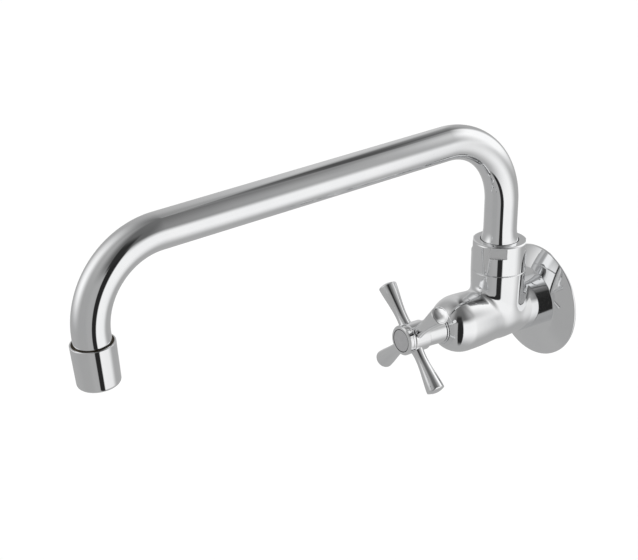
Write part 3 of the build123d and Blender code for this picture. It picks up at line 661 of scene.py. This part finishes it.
dress(nut_plating("nut_plate"), "spout_nut")


# Washers at the spout's foot. Two rings moulded in pale hard plastic, one under the foot's collar
# and one between the collar and the nut, on which the spout swings.
PLASTIC_GREY = (0.78, 0.78, 0.76)
PLASTIC_WHITE = (0.85, 0.85, 0.83)


def moulded_plastic(name):
    """Pale plastic from a mould: satin, with faint flow marks."""
    finish = Finish(name)
    place = finish.place()
    flow = finish.noise(place, scale=210, detail=3, roughness=0.5, squeeze=3)
    grain = finish.noise(place, scale=2200, detail=1, roughness=0.5)
    return finish.surface({
        "Base Color": finish.colours(flow, (0.35, PLASTIC_GREY), (0.7, PLASTIC_WHITE)),
        "Roughness": 0.36 + flow * 0.14,
        "Normal": finish.relief(grain + flow, 0.01 * MM)})


plastic = moulded_plastic("moulded_plastic")
dress(plastic, "swivel_washer", "slip_ring")


# Spout. Thin brass tube with a belled foot, drawn, bent twice on a former and chromium plated. It
# is brazed on a turned spigot, which swings in the body's well on two rubber rings.
TUBE_R = 10.0
TUBE_WALL = 1.2
BELL_R = 11.35
BELL_FOOT = 44.0
BELL_TOP = 55.5
BELL_PARTS = 10
RISE = 117.7
RUN = 279.1
RUN_PARTS = 8
FALL = 3.48
LEAN = 5.94
FIRST_BEND_R = 43.6
LAST_BEND_R = 43.0
OUTLET_STRAIGHT = 11.4
BEND_STEPS = 48


def edges_among(mesh, geom):
    """The edges that join the vertices in a list of geometry."""
    ring = {part for part in geom if isinstance(part, bmesh.types.BMVert)}
    return [edge for edge in mesh.edges if edge.verts[0] in ring and edge.verts[1] in ring]


def drawn(mesh, ring, path):
    """Lengthen the tube straight along a vector, in mm."""
    geom = bmesh.ops.extrude_edge_only(mesh, edges=ring)["geom"]
    ends = [part for part in geom if isinstance(part, bmesh.types.BMVert)]
    bmesh.ops.translate(mesh, vec=path * MM, verts=ends)
    return edges_among(mesh, ends)


def bent(mesh, ring, centre, degrees):
    """Lengthen the tube round a bend that turns in the upright plane."""
    geom = ring + list({vertex for edge in ring for vertex in edge.verts})
    last = bmesh.ops.spin(mesh, geom=geom, cent=centre * MM, axis=(1, 0, 0), dvec=(0, 0, 0),
                          angle=radians(degrees), steps=BEND_STEPS)["geom_last"]
    return edges_among(mesh, last)


first_turn, last_turn = 90 + FALL, 90 - FALL + LEAN
out_along = Vector((0, -cos(radians(FALL)), -sin(radians(FALL))))
down_along = Vector((0, sin(radians(LEAN)), -cos(radians(LEAN))))
first_corner = SWIVEL[0] / MM + Vector((0, 0, RISE))
last_corner = first_corner + out_along * RUN
first_tail = FIRST_BEND_R * tan(radians(first_turn / 2))
last_tail = LAST_BEND_R * tan(radians(last_turn / 2))
first_centre = first_corner + Vector((0, -FIRST_BEND_R, -first_tail))
beneath = Vector((0, -out_along.z, out_along.y))
last_centre = last_corner - out_along * last_tail + beneath * LAST_BEND_R
flare_r = ((BELL_R - TUBE_R) ** 2 + (BELL_TOP - NUT_TOP) ** 2) / (2 * (BELL_R - TUBE_R))
flare_turn = asin((BELL_TOP - NUT_TOP) / flare_r)
flare = [(TUBE_R + flare_r * (1 - cos(flare_turn * part / BELL_PARTS)),
          BELL_TOP - flare_r * sin(flare_turn * part / BELL_PARTS))
         for part in range(BELL_PARTS, -1, -1)]
tube = spun(SWIVEL, [(BELL_R, BELL_FOOT), *flare], closed=False)
ring = ring_edges(tube, SWIVEL, TUBE_R, BELL_TOP)
ring = drawn(tube, ring, Vector((0, 0, RISE - first_tail - BELL_TOP)))
ring = bent(tube, ring, first_centre, first_turn)
for part in range(RUN_PARTS):
    ring = drawn(tube, ring, out_along * ((RUN - first_tail - last_tail) / RUN_PARTS))
ring = bent(tube, ring, last_centre, last_turn)
ring = drawn(tube, ring, down_along * OUTLET_STRAIGHT)
bmesh.ops.remove_doubles(tube, verts=tube.verts[:], dist=TOUCH)
bmesh.ops.recalc_face_normals(tube, faces=tube.faces[:])
bmesh.ops.solidify(tube, geom=tube.faces[:], thickness=TUBE_WALL * MM)
finished("spout_tube_bent", tube, chrome, "spout", "chrome", "spout_tube")


# Aerator. A plated brass housing screwed on a bush that is brazed on the tube's end. The bush is
# coloured near black as painted shade for the gap under the housing. In it lie a plastic insert,
# whose floor is a grid of small holes, and a steel screen.
HOUSING_BORE_R = 11.05
HOUSING_TOP_R = 11.9
HOUSING_TOP_ROUND = 0.35
HOUSING_FOOT_R = 11.45
HOUSING_FOOT_ROUND = 1.95
HOUSING_MOUTH_R = 9.2
HOUSING_MOUTH_ROUND = 0.25
HOUSING_LONG = 23.5
HOUSING_SHELF = 18.7
HOUSING_OVERLAP = 8.0
# Near-black brass for the bush: painted shade for the gap between tube and housing
BUSH_SHADE_BLACK = (0.05, 0.04, 0.03)
BUSH_SHADE_BROWN = (0.11, 0.09, 0.06)
outlet_top = last_corner + down_along * (last_tail + OUTLET_STRAIGHT - HOUSING_OVERLAP)
OUTLET = (outlet_top * MM, down_along)
housing = spun(OUTLET, [
    (HOUSING_BORE_R, 0), (HOUSING_TOP_R, 0), (HOUSING_FOOT_R, HOUSING_LONG),
    (HOUSING_MOUTH_R, HOUSING_LONG), (HOUSING_MOUTH_R, HOUSING_SHELF),
    (HOUSING_BORE_R, HOUSING_SHELF)])
round_off(housing, OUTLET, (HOUSING_TOP_R, 0), HOUSING_TOP_ROUND)
round_off(housing, OUTLET, (HOUSING_FOOT_R, HOUSING_LONG), HOUSING_FOOT_ROUND, steps=8)
round_off(housing, OUTLET, (HOUSING_MOUTH_R, HOUSING_LONG), HOUSING_MOUTH_ROUND)
finished("aerator_housing_turned", housing, chrome, "spout", "chrome", "aerator_housing")
# The bush shows only as a thin ring in the gap, and its near-black colour is painted shade there
dress(machined("brass_painted_gap_shade", BUSH_SHADE_BLACK, BUSH_SHADE_BROWN, OUTLET, dull=0.45), "outlet_bush")
dress(plastic, "aerator_insert")
dress(steel, "aerator_screen")


# Studio. A white paper floor under the tap, and soft white light from all round. The metal mirrors
# a tent of grey cloth, with two softboxes, white walls, a dark ceiling and a dark card in it.
PAPER_DROP = 0.30
PAPER_R = 12
PAPER_WHITE = (0.93, 0.93, 0.93, 1)
PAPER_GLOW = (0.09, 0.09, 0.09)
TENT_AT = Vector((0, -0.06, 0.01))
TENT_R = 0.60
TENT_GREY = 0.43
DEGREES = 180 / pi


def staged(name, mesh, finish):
    """A thing of the studio that isn't part of the tap."""
    data = bpy.data.meshes.new(name)
    mesh.to_mesh(data)
    mesh.free()
    data.materials.append(finish)
    thing = bpy.data.objects.new(name, data)
    bpy.context.scene.collection.objects.link(thing)
    return thing


paper = Finish("white_paper")
seen = paper.add("LightPath", out="Is Camera Ray")
fibres = paper.noise(paper.place(), scale=700, detail=3, roughness=0.6)
white_paper = paper.surface({
    "Base Color": PAPER_WHITE, "Roughness": 0.88 + fibres * 0.04,
    "Emission Color": paper.colours(seen, (0, (0, 0, 0)), (1, PAPER_GLOW)),
    "Emission Strength": 1.0})
floor = bmesh.new()
bmesh.ops.create_circle(floor, cap_ends=True, segments=96, radius=PAPER_R)
bmesh.ops.translate(floor, vec=(0, 0, -PAPER_DROP), verts=floor.verts[:])
paper_floor = staged("paper_floor", floor, white_paper)
paper_floor.visible_glossy = False

soft_light = Finish("soft_light", bpy.data.worlds)
glow = soft_light.add("Background", {}, {"Color": (1, 1, 1, 1), "Strength": 1.0})
soft_light.add("OutputWorld", {}, {"Surface": glow})
soft_light.owner.cycles.sampling_method = "NONE"
bpy.context.scene.world = soft_light.owner

# Directions on the tent: the turn from straight out of the wall, and the height above the tap
cloth = Finish("tent_cloth")
from_middle = cloth.vector("SUBTRACT", cloth.place(), TENT_AT)
sideways, outward, upward = cloth.parts(cloth.vector("NORMALIZE", from_middle))
turn = sideways.maths("ARCTAN2", sideways, outward * -1.0) * DEGREES
full_turn = turn.maths("FLOORED_MODULO", turn, 360.0)
height = upward.maths("ARCSINE", upward) * DEGREES


def lit(light, level, angle, left, right, low, high):
    """Light with one panel added: each edge is its middle and its softness, in degrees."""
    sides = cloth.rise(angle, *left) * (1 - cloth.rise(angle, *right))
    where = sides * cloth.rise(height, *low) * (1 - cloth.rise(height, *high))
    return light + (level - light) * where


# The cloth is a little greyer out from the wall, between the softboxes
light = lit(TENT_GREY, 0.40, turn, (-15, 14), (24, 8), (-60, 22), (20, 8))
# Left softbox, and the white wall beyond it
light = lit(light, 1.08, turn, (-46, 22), (-12, 12), (2, 13), (46, 30))
light = lit(light, 0.62, turn, (-130, 5), (-101, 18), (-22, 16), (66, 8))
# Dark ceiling
light = lit(light, 0.14, turn, (22, 14), (96, 22), (24, 9), (120, 10))
light = lit(light, 0.17, turn, (-94, 60), (191, 60), (66, 25), (120, 10))
light = lit(light, 0.06, full_turn, (176, 10), (236, 12), (53, 22), (86, 20))
# Right softbox, and the white wall behind the tap
light = lit(light, 1.0, full_turn, (68, 2), (138, 22), (-46, 30), (22, 12))
light = lit(light, 1.09, full_turn, (140, 20), (197, 9), (5, 10), (58, 14))
# Dark card beside the lens, from the table up, and a wider one above it
light = lit(light, 0.022, turn, (45.5, 1.5), (66, 1.5), (-70, 14), (28, 4))
light = lit(light, 0.03, turn, (39, 3), (63, 4), (22, 4), (46, 8))
shine = cloth.add("Emission", {}, {"Color": light, "Strength": 1.0})
cloth.add("OutputMaterial", {}, {"Surface": shine})
sphere = bmesh.new()
bmesh.ops.create_uvsphere(sphere, u_segments=64, v_segments=32, radius=TENT_R,
                          matrix=Matrix.Translation(TENT_AT))
light_tent = staged("light_tent", sphere, cloth.owner)
light_tent.visible_camera = False
light_tent.visible_diffuse = False
light_tent.visible_shadow = False
bpy.context.scene.view_settings.view_transform = "Standard"
